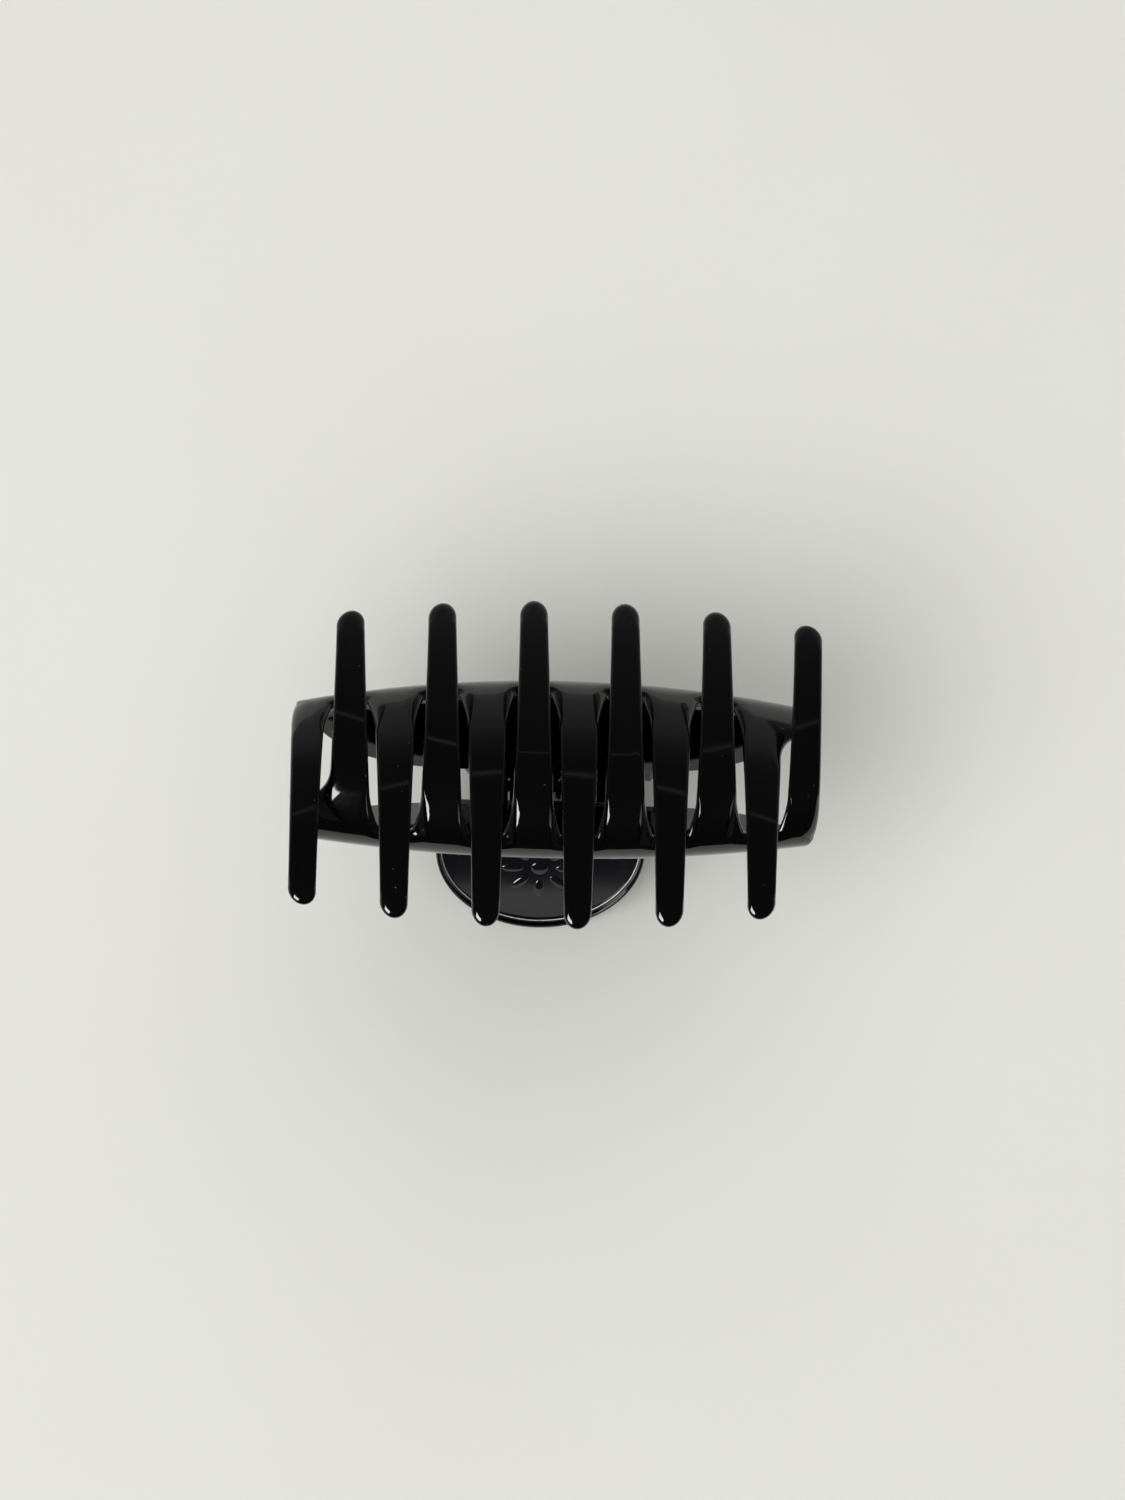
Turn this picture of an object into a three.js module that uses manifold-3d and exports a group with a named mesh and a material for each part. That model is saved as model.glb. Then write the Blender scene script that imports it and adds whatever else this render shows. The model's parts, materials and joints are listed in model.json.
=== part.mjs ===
// Large claw hair clip, closed, standing on its two round handles with the teeth up.
// Millimetres. +Z up, +X along the hinge, origin on the ground under the middle of the hinge.
// Each jaw is one moulding: an arched band with six curved teeth, a round handle and two lugs.
// The front jaw is the same moulding as the rear one, turned half a turn about Z.

import * as THREE from 'three';
import { mergeVertices } from 'three/addons/utils/BufferGeometryUtils.js';
import Module from 'manifold-3d';

const wasm = await Module();
wasm.setup();

// ---- driving dimensions --------------------------------------------------------------------

const HALF_LENGTH = 51.8; // hinge-wise half length of a jaw
const HINGE_HEIGHT = 28.35; // hinge axis above the ground
const WALL = 2.8; // thickness of the band
const BAND_SPAN = [-51.2, 50.2]; // the band's ends; an end tooth closes the first one
const BARE_EDGE = 13.8; // the last tooth's root reaches the other end, up to here on the face
const BARE_CORNER = 5.6; // its rounded upper corner there

// side profile of a jaw's outer face, measured from the hinge axis
const BULGE = { y: 17.55, z: 21.5 }; // furthest out, where the face stands upright
const BELLY_RADIUS = 14; // below the bulge, turning in towards the hinge
const BELLY_TURN = THREE.MathUtils.degToRad(30.1);
const SHOULDER_RADIUS = 8.5; // above the bulge
const SHOULDER_TURN = Math.PI / 4;
const CREST_Y = -1.5; // where a tooth is highest
const TOOTH_RADIUS = 85; // long flat curve from the crest to the tip
const TIP_Y = -32.85;
const BAND_DEPTH = 27.3; // along the face from the bulge down to the lower edge

// teeth, measured along the face from the bulge
const TOOTH_COUNT = 6;
const TOOTH_PITCH = 17.93;
const TOOTH_SHIFT = -TOOTH_PITCH / 4; // the two jaws' teeth mesh half a pitch apart
const TOOTH_SLANT = 0.5; // a tip stands this far along X from its root
const ROOT_HALF_WIDTH = 4;
const TIP_HALF_WIDTH = 2.75;
const TAPER_START = 14; // a tooth starts to narrow here
const TAPER_POWER = 1.35;
const TIP_THICKNESS = 2.5;
const ARCH_EDGE = 6.5; // the band's upper edge between two teeth
const ARCH_CORNER = 0.9; // radius where a tooth's side meets that edge
const TOOTH_EDGE = 0.7; // chamfer along a tooth's edges
const TIP_ROUNDING = 0.4; // share of the thickness rounded off each face at the very tip
const ROOT_COVER = 0.6; // a root is buried this deep in the band
const PROUD = 0.05; // keeps a tooth's faces from coinciding with the band's
const FLARE = { width: 1.7, length: 8.5 }; // a tooth's side widens towards its root
const END_FLARE = { width: 3.2, length: 7.5 }; // the last tooth's side above its bare end
const END_SPREAD = 0.2; // the end tooth's outer side leans out by this much

// the band's ends: a rounded corner, and the whole section draws in towards them
const END_RISE = 41.3;
const END_POWER = 4.42;
const SAG = 0.00165; // 1/mm: seen from above, the bow's sagitta is SAG * x^2
const END_DROP = 7.5e-5; // 1/mm^2: the bow also comes down towards its ends, the tips don't

// handle: a round plate with a raised rim and a sunk medallion
const HANDLE_SLOPE = THREE.MathUtils.degToRad(51.4); // below the horizontal
const HANDLE_OFFSET = 2.77; // rim plane from the hinge axis
const HANDLE_RADIUS = 20.8;
const HANDLE_CENTRE = 15.05; // down the slope from the hinge
const HANDLE_SHIFT = 1.9; // along X, from the middle of the clip
const HANDLE_THICKNESS = 3.6;
const RIM_WIDTH = 0.8;
const POCKET_DEPTH = 2.4;
const KNEE_START = 5;
const KNEE_END = 6.2; // the pocket's straight side, under the band
const MEDALLION_SINK = 1.2;
const MEDALLION_THICKNESS = 0.9;
const FIT = 0.3; // clearance between pieces
const MOTIF_RADIUS = 5.4;
const MOTIF_HEIGHT = 0.35;
const PETAL_COUNT = 8;
const PETAL = { halfLength: 2.2, halfWidth: 1 };
const BOSS_RADIUS = 1.7;

// hinge
const PIN_RADIUS = 1.1;
const PIN_HEAD_RADIUS = 2;
const PIN_HEAD_LENGTH = 1;
const PIN_HEAD_BEVEL = 0.5;
const LUG_RADIUS = 2.9;
const LUGS = [[8.8, 11.2], [-8.4, -6]]; // spans along X on the rear jaw
const SPRING_RADIUS = 2;
const WIRE_RADIUS = 0.45;
const SPRING_HALF_LENGTH = 4.9;
const SPRING_FULL_TURNS = 5;
const SPRING_LEG = 13;

// ---- geometry helpers ------------------------------------------------------------------------

function toManifold(geometry) {
  const bare = geometry.clone();
  bare.deleteAttribute('normal');
  bare.deleteAttribute('uv');
  const merged = mergeVertices(bare, 1e-4);
  return new wasm.Manifold(new wasm.Mesh({
    numProp: 3,
    vertProperties: new Float32Array(merged.attributes.position.array),
    triVerts: new Uint32Array(merged.index.array),
  }));
}

function toGeometry(solid) {
  const mesh = solid.getMesh();
  const geometry = new THREE.BufferGeometry();
  geometry.setAttribute('position', new THREE.BufferAttribute(mesh.vertProperties, 3));
  geometry.setIndex(new THREE.BufferAttribute(mesh.triVerts, 1));
  geometry.computeVertexNormals();
  return geometry;
}

function meshFrom(points, triangles) {
  const geometry = new THREE.BufferGeometry();
  geometry.setAttribute('position', new THREE.Float32BufferAttribute(points.flat(), 3));
  geometry.setIndex(triangles.flat());
  return geometry;
}

// closed body through rings of points, all rings with the same number of points
function loft(rings) {
  const size = rings[0].length;
  const points = rings.flat();
  const triangles = [];
  for (let i = 0; i + 1 < rings.length; i += 1) {
    for (let j = 0; j < size; j += 1) {
      const k = (j + 1) % size;
      const [a, b] = [i * size + j, i * size + k];
      triangles.push([a, b + size, b], [a, a + size, b + size]);
    }
  }
  const last = (rings.length - 1) * size;
  for (let j = 1; j + 1 < size; j += 1) {
    triangles.push([0, j, j + 1], [last, last + j + 1, last + j]);
  }
  return meshFrom(points, triangles);
}

// closed body between two grids of points, outer[i][j] and inner[i][j]
function slab(outer, inner) {
  const rows = outer.length;
  const columns = outer[0].length;
  const points = [...outer.flat(), ...inner.flat()];
  const at = (side, i, j) => side * rows * columns + i * columns + j;
  const triangles = [];
  const quad = (a, b, c, d) => triangles.push([a, c, b], [a, d, c]);
  for (let i = 0; i + 1 < rows; i += 1) {
    for (let j = 0; j + 1 < columns; j += 1) {
      quad(at(0, i, j), at(0, i + 1, j), at(0, i + 1, j + 1), at(0, i, j + 1));
      quad(at(1, i, j), at(1, i, j + 1), at(1, i + 1, j + 1), at(1, i + 1, j));
    }
    const end = columns - 1;
    quad(at(0, i, 0), at(1, i, 0), at(1, i + 1, 0), at(0, i + 1, 0));
    quad(at(0, i, end), at(0, i + 1, end), at(1, i + 1, end), at(1, i, end));
  }
  for (let j = 0; j + 1 < columns; j += 1) {
    const end = rows - 1;
    quad(at(0, 0, j), at(0, 0, j + 1), at(1, 0, j + 1), at(1, 0, j));
    quad(at(0, end, j), at(1, end, j), at(1, end, j + 1), at(0, end, j + 1));
  }
  return meshFrom(points, triangles);
}

// prism along X from an outline of [y, z] points measured from the hinge axis
function prism(outline, x0, x1) {
  const shape = new THREE.Shape(outline.map(([y, z]) => new THREE.Vector2(y, z)));
  const geometry = new THREE.ExtrudeGeometry(shape, { depth: x1 - x0, bevelEnabled: false });
  const axes = new THREE.Matrix4().makeBasis(
    new THREE.Vector3(0, 1, 0), new THREE.Vector3(0, 0, 1), new THREE.Vector3(1, 0, 0),
  );
  return geometry.applyMatrix4(axes).translate(x0, 0, HINGE_HEIGHT);
}

// ---- the face of a jaw -----------------------------------------------------------------------

const CREST_RADIUS = (BULGE.y - SHOULDER_RADIUS * (1 - Math.cos(SHOULDER_TURN)) - CREST_Y)
  / Math.cos(SHOULDER_TURN);
const SHOULDER_LENGTH = SHOULDER_RADIUS * SHOULDER_TURN;
const CREST_AT = SHOULDER_LENGTH + CREST_RADIUS * (Math.PI / 2 - SHOULDER_TURN);
const TIP_AT = CREST_AT + TOOTH_RADIUS * Math.asin((CREST_Y - TIP_Y) / TOOTH_RADIUS);
const BELLY_LENGTH = BELLY_RADIUS * BELLY_TURN;

// end of an arc that starts with its outward normal at angle a0 (from +Y) and turns to a1
const arc = (from, radius, a0, a1) => ({
  y: from.y + radius * (Math.cos(a1) - Math.cos(a0)),
  z: from.z + radius * (Math.sin(a1) - Math.sin(a0)),
  angle: a1,
});

// point and outward normal of the outer face at the distance s along it from the bulge
function profile(s) {
  if (s < 0) {
    const turned = Math.min(-s, BELLY_LENGTH) / BELLY_RADIUS;
    const foot = arc(BULGE, BELLY_RADIUS, 0, -turned);
    const straight = Math.max(-s - BELLY_LENGTH, 0);
    foot.y -= straight * Math.sin(BELLY_TURN);
    foot.z -= straight * Math.cos(BELLY_TURN);
    return foot;
  }
  if (s < SHOULDER_LENGTH) return arc(BULGE, SHOULDER_RADIUS, 0, s / SHOULDER_RADIUS);
  const shoulder = arc(BULGE, SHOULDER_RADIUS, 0, SHOULDER_TURN);
  if (s < CREST_AT) {
    const turn = SHOULDER_TURN + (s - SHOULDER_LENGTH) / CREST_RADIUS;
    return arc(shoulder, CREST_RADIUS, SHOULDER_TURN, turn);
  }
  const crest = arc(shoulder, CREST_RADIUS, SHOULDER_TURN, Math.PI / 2);
  return arc(crest, TOOTH_RADIUS, Math.PI / 2, Math.PI / 2 + (s - CREST_AT) / TOOTH_RADIUS);
}

// point of the rear jaw at x along the hinge, s along the face and depth below the face
function onJaw(x, s, depth) {
  const face = profile(s);
  const y = face.y - depth * Math.cos(face.angle);
  const z = face.z - depth * Math.sin(face.angle);
  const reach = y > CREST_Y ? BULGE.y - CREST_Y : CREST_Y - TIP_Y;
  const narrowed = CREST_Y + (y - CREST_Y) * (1 - SAG * x * x / reach);
  const lowered = z * (1 - END_DROP * x * x * (y - TIP_Y) / (BULGE.y - TIP_Y));
  return [x, narrowed, HINGE_HEIGHT + lowered];
}

// the band's rounded outline: lower edge at x, and the half length at a height s
const lowerEdge = (x) => -BAND_DEPTH
  + END_RISE * (1 - Math.sqrt(1 - (Math.abs(x) / HALF_LENGTH) ** END_POWER));
const halfLengthAt = (s) => HALF_LENGTH
  * (1 - Math.max(0, 1 - (s + BAND_DEPTH) / END_RISE) ** 2) ** (1 / END_POWER);

// ---- pieces of a jaw -------------------------------------------------------------------------

function band() {
  const stations = 22;
  const steps = 10;
  const [left, right] = BAND_SPAN;
  const grid = (depth) => Array.from({ length: stations + 1 }, (_, i) => {
    const t = Math.sin((i / stations - 0.5) * Math.PI) / 2 + 0.5; // closer stations at the ends
    const x = left + (right - left) * t;
    const lower = lowerEdge(x);
    return Array.from({ length: steps + 1 }, (__, j) => (
      onJaw(x, lower + (ARCH_EDGE - lower) * (j / steps), depth)
    ));
  });
  return slab(grid(0), grid(WALL));
}

function tooth(index) {
  const centre = (index - (TOOTH_COUNT - 1) / 2) * TOOTH_PITCH + TOOTH_SHIFT;
  const flare = (s, { width, length }) => {
    const above = Math.max(s - ARCH_EDGE, 0);
    const remaining = Math.max(1 - above / length, 0);
    const corner = Math.max(ARCH_CORNER - above, 0);
    return width * remaining ** 1.5 + ARCH_CORNER - Math.sqrt(ARCH_CORNER ** 2 - corner ** 2);
  };
  // how far the last tooth reaches towards the bare end
  const bareSide = (s, side) => {
    if (s >= BARE_EDGE) {
      return side + END_FLARE.width * Math.max(1 - (s - BARE_EDGE) / END_FLARE.length, 0) ** 2.5;
    }
    const corner = THREE.MathUtils.clamp((s - BARE_EDGE) / BARE_CORNER + 1, 0, 0.93);
    return BAND_SPAN[1] - BARE_CORNER * (1 - Math.sqrt(1 - corner ** 2));
  };
  const straight = TIP_AT - TIP_HALF_WIDTH;
  const rootEnd = ARCH_EDGE + 7;
  const stations = [ARCH_EDGE - 3];
  for (const above of [0, 0.25, 0.9, 2.5, 4.5]) stations.push(ARCH_EDGE + above);
  for (let i = 0; i <= 9; i += 1) stations.push(rootEnd + (straight - rootEnd) * (i / 9));
  if (index === TOOTH_COUNT - 1) stations.push(10, 12.6, 13.7, 14.3, 15.6, 20.5);
  for (const share of [0.5, 0.82, 0.98]) stations.push(straight + TIP_HALF_WIDTH * share);

  const rings = stations.sort((a, b) => a - b).map((s) => {
    const along = THREE.MathUtils.clamp((s - ARCH_EDGE) / (straight - ARCH_EDGE), 0, 1);
    const narrowing = THREE.MathUtils.clamp((s - TAPER_START) / (straight - TAPER_START), 0, 1);
    const widening = (1 - narrowing) ** TAPER_POWER;
    const past = Math.max(0, (s - straight) / TIP_HALF_WIDTH);
    const round = Math.sqrt(1 - past * past); // the tip is a half circle in plan
    const half = (TIP_HALF_WIDTH + (ROOT_HALF_WIDTH - TIP_HALF_WIDTH) * widening) * round;
    const middle = centre + TOOTH_SLANT * (s / TIP_AT - 0.5);
    const thickness = THREE.MathUtils.lerp(WALL, TIP_THICKNESS, along);
    const isRoot = s < ARCH_EDGE;
    const rounding = thickness * (1 - round) * TIP_ROUNDING;
    const top = isRoot ? ROOT_COVER : rounding - PROUD;
    const bottom = isRoot ? WALL - ROOT_COVER : thickness - rounding - 3 * PROUD;
    const isFirst = index === 0;
    const isLast = index === TOOTH_COUNT - 1;
    const outerSide = -Math.min(halfLengthAt(s), HALF_LENGTH + END_SPREAD * along);
    const left = isFirst && past === 0 ? outerSide : middle - half - flare(s, FLARE);
    const right = isLast ? bareSide(s, middle + half) : middle + half + flare(s, FLARE);
    const edge = Math.min(TOOTH_EDGE, (right - left) / 4);
    const chamfer = Math.min(TOOTH_EDGE, (bottom - top) / 3);
    return [
      onJaw(left + edge, s, top),
      onJaw(right - edge, s, top),
      onJaw(right, s, top + chamfer),
      onJaw(right, s, bottom - chamfer),
      onJaw(right - edge, s, bottom),
      onJaw(left + edge, s, bottom),
      onJaw(left, s, bottom - chamfer),
      onJaw(left, s, top + chamfer),
    ];
  });
  return loft(rings);
}

// a point of the handle: along is down the slope, above is measured out from the rim plane
function onHandle(along, above) {
  const out = HANDLE_OFFSET + above;
  return [
    along * Math.cos(HANDLE_SLOPE) + out * Math.sin(HANDLE_SLOPE),
    -along * Math.sin(HANDLE_SLOPE) + out * Math.cos(HANDLE_SLOPE),
  ];
}

// puts a shape made in the XY plane, with +Y down the slope, on the rear handle's rim plane
function placeOnHandle(geometry) {
  const [y, z] = onHandle(HANDLE_CENTRE, 0);
  const placing = new THREE.Matrix4().makeBasis(
    new THREE.Vector3(1, 0, 0),
    new THREE.Vector3(0, Math.cos(HANDLE_SLOPE), -Math.sin(HANDLE_SLOPE)),
    new THREE.Vector3(0, Math.sin(HANDLE_SLOPE), Math.cos(HANDLE_SLOPE)),
  );
  return geometry.applyMatrix4(placing).translate(HANDLE_SHIFT, y, HINGE_HEIGHT + z);
}

const POCKET_RADIUS = HANDLE_RADIUS - RIM_WIDTH;

function handlePlate() {
  const edge = 0.3;
  const outline = [
    [0, -HANDLE_THICKNESS],
    [HANDLE_RADIUS - edge, -HANDLE_THICKNESS],
    [HANDLE_RADIUS, edge - HANDLE_THICKNESS],
    [HANDLE_RADIUS, -edge],
    [HANDLE_RADIUS - edge, 0],
    [POCKET_RADIUS + edge / 2, 0],
    [POCKET_RADIUS, -edge / 2],
    [POCKET_RADIUS, -POCKET_DEPTH],
    [0, -POCKET_DEPTH],
  ].map(([r, above]) => new THREE.Vector2(r, above));
  const plate = new THREE.LatheGeometry(outline, 48).rotateX(Math.PI / 2);
  const beyond = HANDLE_RADIUS + 1; // the part of the round plate that the hinge leaves no room for
  const cut = new THREE.BoxGeometry(2 * beyond, beyond, 2 * beyond)
    .translate(0, KNEE_START - HANDLE_CENTRE - beyond / 2, 0);
  return toManifold(placeOnHandle(plate)).subtract(toManifold(placeOnHandle(cut)));
}

// joins the band's lower edge to the plate and closes the pocket with a straight side
function knee() {
  const onBand = (s, depth) => {
    const face = profile(s);
    return [face.y - depth * Math.cos(face.angle), face.z - depth * Math.sin(face.angle)];
  };
  const halfLength = Math.sqrt(HANDLE_RADIUS ** 2 - (HANDLE_CENTRE - KNEE_START) ** 2) + 0.2;
  const buried = 0.3; // the corners inside the band lie this deep in it
  const outline = [
    onHandle(KNEE_START, -HANDLE_THICKNESS),
    onHandle(KNEE_END, -HANDLE_THICKNESS),
    onHandle(KNEE_END, 0),
    onBand(2.2 - BAND_DEPTH, buried),
    onBand(3.5 - BAND_DEPTH, WALL / 2),
    onBand(buried - BAND_DEPTH, WALL - buried),
  ];
  return toManifold(prism(outline, HANDLE_SHIFT - halfLength, HANDLE_SHIFT + halfLength));
}

function lug([x0, x1]) {
  const root = [[3, -4.6], [5.5, -3], [5, 0.2]]; // buried in the knee and the band
  const [from, to] = [56.8, 245].map(THREE.MathUtils.degToRad); // the round nose, from +Y
  const sides = 10;
  const nose = Array.from({ length: sides + 1 }, (_, i) => {
    const angle = from + (to - from) * (i / sides);
    return [LUG_RADIUS * Math.cos(angle), LUG_RADIUS * Math.sin(angle)];
  });
  return toManifold(prism([...nose, ...root], x0, x1));
}

function jaw() {
  let solid = toManifold(band());
  for (let i = 0; i < TOOTH_COUNT; i += 1) solid = solid.add(toManifold(tooth(i)));
  solid = solid.add(handlePlate()).add(knee());
  for (const span of LUGS) solid = solid.add(lug(span));
  const boreLength = 2 * (PIN_HEAD_LENGTH + LUGS[0][1]);
  const bore = new THREE.CylinderGeometry(PIN_RADIUS + FIT, PIN_RADIUS + FIT, boreLength, 16)
    .rotateZ(Math.PI / 2)
    .translate(0, 0, HINGE_HEIGHT);
  return toGeometry(solid.subtract(toManifold(bore)).simplify(0.04));
}

// ---- the other pieces ------------------------------------------------------------------------

// D-shaped plate with a raised rosette
function medallion() {
  const radius = POCKET_RADIUS - FIT;
  const chord = KNEE_END + FIT - HANDLE_CENTRE;
  const dip = Math.asin(chord / radius);
  const outline = new THREE.Shape().absarc(0, 0, radius, dip, Math.PI - dip, false);
  const top = -MEDALLION_SINK;
  const extrude = (shape, from, to, curveSegments) => new THREE.ExtrudeGeometry(shape, {
    depth: to - from, bevelEnabled: false, curveSegments,
  }).translate(0, 0, from);
  let solid = toManifold(extrude(outline, top - MEDALLION_THICKNESS, top, 40));

  const middle = (chord + radius) / 2;
  const raise = (shape, sides) => {
    const bottom = top - MEDALLION_THICKNESS / 2;
    solid = solid.add(toManifold(extrude(shape, bottom, top + MOTIF_HEIGHT, sides)));
  };
  for (let i = 0; i < PETAL_COUNT; i += 1) {
    const turn = (i / PETAL_COUNT) * 2 * Math.PI;
    const [x, y] = [MOTIF_RADIUS * Math.cos(turn), middle + MOTIF_RADIUS * Math.sin(turn)];
    const { halfLength, halfWidth } = PETAL;
    const petal = new THREE.Shape();
    raise(petal.absellipse(x, y, halfLength, halfWidth, 0, 2 * Math.PI, false, turn), 10);
  }
  raise(new THREE.Shape().absarc(0, middle, BOSS_RADIUS, 0, 2 * Math.PI, false), 12);
  return toGeometry(toManifold(placeOnHandle(toGeometry(solid))));
}

// headed at both ends, so that it can't slide out of the lugs
function hingePin() {
  const inner = LUGS[0][1] + FIT;
  const outer = inner + PIN_HEAD_LENGTH;
  const half = [[PIN_RADIUS, inner], [PIN_HEAD_RADIUS, inner],
    [PIN_HEAD_RADIUS, outer - PIN_HEAD_BEVEL], [PIN_HEAD_RADIUS - PIN_HEAD_BEVEL, outer],
    [0, outer]];
  const outline = [...half.map(([r, x]) => [r, -x]).reverse(), ...half];
  const points = outline.map(([r, x]) => new THREE.Vector2(r, x));
  return toGeometry(toManifold(new THREE.LatheGeometry(points, 16)
    .rotateZ(-Math.PI / 2)
    .translate(0, 0, HINGE_HEIGHT)));
}

// a leg along the front handle, the coil round the pin, and a leg along the rear handle
class SpringPath extends THREE.Curve {
  constructor() {
    super();
    this.start = -(Math.PI / 2 - HANDLE_SLOPE);
    this.turn = Math.PI - 2 * this.start + SPRING_FULL_TURNS * 2 * Math.PI;
    this.coil = Math.hypot(this.turn * SPRING_RADIUS, 2 * SPRING_HALF_LENGTH);
  }

  getPoint(t, target = new THREE.Vector3()) {
    const travelled = t * (this.coil + 2 * SPRING_LEG) - SPRING_LEG;
    const share = THREE.MathUtils.clamp(travelled / this.coil, 0, 1);
    const angle = this.start + this.turn * share;
    const past = travelled - share * this.coil; // along a leg: negative on the first one
    return target.set(
      SPRING_HALF_LENGTH * (2 * share - 1),
      SPRING_RADIUS * Math.cos(angle) - past * Math.sin(angle),
      HINGE_HEIGHT + SPRING_RADIUS * Math.sin(angle) + past * Math.cos(angle),
    );
  }
}

function torsionSpring() {
  const wire = new THREE.Shape().absarc(0, 0, WIRE_RADIUS, 0, 2 * Math.PI, false);
  const tube = new THREE.ExtrudeGeometry(wire, {
    steps: 116, curveSegments: 6, bevelEnabled: false, extrudePath: new SpringPath(),
  });
  return toGeometry(toManifold(tube));
}

// ---- assembly --------------------------------------------------------------------------------

const blackPlastic = new THREE.MeshStandardMaterial({ color: 0x0a0a0b, roughness: 0.12 });
const blackEnamel = new THREE.MeshStandardMaterial({ color: 0x14141b, roughness: 0.05 });
const blackSteel = new THREE.MeshStandardMaterial({ color: 0x19191a, roughness: 0.35, metalness: 0.5 });

function piece(name, geometry, material) {
  const mesh = new THREE.Mesh(geometry, material);
  mesh.name = name;
  return mesh;
}

const jawGeometry = jaw();
const medallionGeometry = medallion();

const rearHalf = new THREE.Group();
rearHalf.add(
  piece('rear_jaw', jawGeometry, blackPlastic),
  piece('rear_medallion', medallionGeometry, blackEnamel),
);

const frontHalf = new THREE.Group();
frontHalf.rotation.z = Math.PI;
frontHalf.add(
  piece('front_jaw', jawGeometry, blackPlastic),
  piece('front_medallion', medallionGeometry, blackEnamel),
);

const clip = new THREE.Group();
clip.add(
  frontHalf,
  rearHalf,
  piece('hinge_pin', hingePin(), blackSteel),
  piece('torsion_spring', torsionSpring(), blackSteel),
);

export default clip;
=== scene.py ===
"""The looks of a large claw hair clip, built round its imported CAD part.

Everything is in the part's frame: +X along the hinge, +Z up, the ground at z = 0. Shapes are
worked out in millimetres and turned into metres when a mesh is made. The rear jaw stands out
towards +Y; the front jaw is the same moulding turned half a turn about Z.
"""

import json
import math

import bpy
import numpy as np
from mathutils import Matrix, Vector
from mathutils.geometry import delaunay_2d_cdt

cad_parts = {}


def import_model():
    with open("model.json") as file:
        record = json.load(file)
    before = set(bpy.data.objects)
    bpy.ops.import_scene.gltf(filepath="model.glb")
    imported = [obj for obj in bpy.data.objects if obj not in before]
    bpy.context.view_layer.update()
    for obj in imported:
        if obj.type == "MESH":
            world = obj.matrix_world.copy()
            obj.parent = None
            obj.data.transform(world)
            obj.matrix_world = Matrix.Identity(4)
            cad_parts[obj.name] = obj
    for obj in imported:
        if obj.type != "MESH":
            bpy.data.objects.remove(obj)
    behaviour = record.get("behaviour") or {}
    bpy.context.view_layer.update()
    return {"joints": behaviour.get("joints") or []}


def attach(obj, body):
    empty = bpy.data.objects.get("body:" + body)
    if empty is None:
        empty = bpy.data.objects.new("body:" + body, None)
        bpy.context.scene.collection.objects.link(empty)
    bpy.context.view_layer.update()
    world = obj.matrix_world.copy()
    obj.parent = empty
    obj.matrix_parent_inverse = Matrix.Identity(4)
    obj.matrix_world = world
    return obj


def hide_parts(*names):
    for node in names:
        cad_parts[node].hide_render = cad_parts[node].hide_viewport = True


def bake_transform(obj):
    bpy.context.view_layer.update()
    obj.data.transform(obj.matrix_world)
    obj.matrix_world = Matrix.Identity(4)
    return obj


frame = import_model()

MM = 0.001
HINGE_HEIGHT = frame["joints"][0]["pos_m"][2] / MM
HALF_TURN = np.array([-1.0, -1.0, 1.0])  # times a point: the point turned half a turn about Z

# ---- the jaw's driving dimensions, as in the CAD part ------------------------------------------

HALF_LENGTH = 51.8
WALL = 2.8
BULGE_Y, BULGE_Z = 17.55, 21.5
BELLY_RADIUS, BELLY_TURN = 14.0, math.radians(30.1)
SHOULDER_RADIUS, SHOULDER_TURN = 8.5, math.pi / 4
CREST_Y = -1.5
TOOTH_RADIUS = 85.0
TIP_Y = -32.85
BAND_DEPTH = 27.3
TOOTH_COUNT = 6
TOOTH_PITCH = 17.93
TOOTH_SHIFT = -TOOTH_PITCH / 4
TOOTH_SLANT = 0.5
ROOT_HALF_WIDTH = 4.0
TAPER_START, TAPER_POWER = 14.0, 1.35
TIP_HALF_WIDTH = 2.75
TIP_THICKNESS = 2.5
TIP_LENGTH = 3.5
ARCH_EDGE = 6.5
ARCH_CORNER = 0.9
FLARE = (1.7, 8.5)  # how much wider a tooth is at its root, and how far up that goes
BARE_END = 50.2  # the band's end that no tooth closes
BARE_EDGE = 13.8  # the last tooth's root reaches it up to here
BARE_CORNER = 5.6
END_FLARE = (3.2, 7.5)  # the last tooth's flare above that edge
END_RISE = 41.3
END_POWER = 4.42
SAG = 0.00165
END_DROP = 7.5e-5

HANDLE_SLOPE = math.radians(51.4)
HANDLE_OFFSET = 2.77
HANDLE_RADIUS = 20.8
HANDLE_CENTRE = 15.05
HANDLE_SHIFT = 1.9
HANDLE_THICKNESS = 3.6
RIM_WIDTH = 0.8
POCKET_RADIUS = HANDLE_RADIUS - RIM_WIDTH
POCKET_DEPTH = 2.4
KNEE_START, KNEE_END = 5.0, 6.2
MEDALLION_SINK = 1.2
MEDALLION_THICKNESS = 0.9
MOTIF_RADIUS, MOTIF_HEIGHT = 5.4, 0.4
PETAL_COUNT, PETAL = 8, (2.2, 1.0)  # half length, half width
BOSS_RADIUS = 1.7

PIN_RADIUS = 1.1
PIN_HEAD_RADIUS, PIN_HEAD_LENGTH = 2.0, 1.0
PIN_PLAY = 0.3  # between a head and a lug
BORE_RADIUS = 1.4
LUG_RADIUS = 2.9
LUGS = ((8.8, 11.2), (-8.4, -6.0))
SPRING_RADIUS = 2.0
WIRE_RADIUS = 0.45
SPRING_HALF_LENGTH = 4.9
SPRING_FULL_TURNS = 5
SPRING_LEG = 13.0

# how far the comb's edges are rounded, measured over its face
TOOTH_ROUNDING = 0.65
ROOT_ROUNDING = 3.4
TIP_ROUNDING = 2.0
LOWER_ROUNDING = 0.6
DEEPEST_ROUNDING = 1.2  # and how deep into its thickness at most
EDGE_STEPS = 7
QUARTER = [math.pi / 2 * i / 4 for i in range(5)]  # turns of a smaller rounded edge

# ---- mesh under construction ------------------------------------------------------------------


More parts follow.
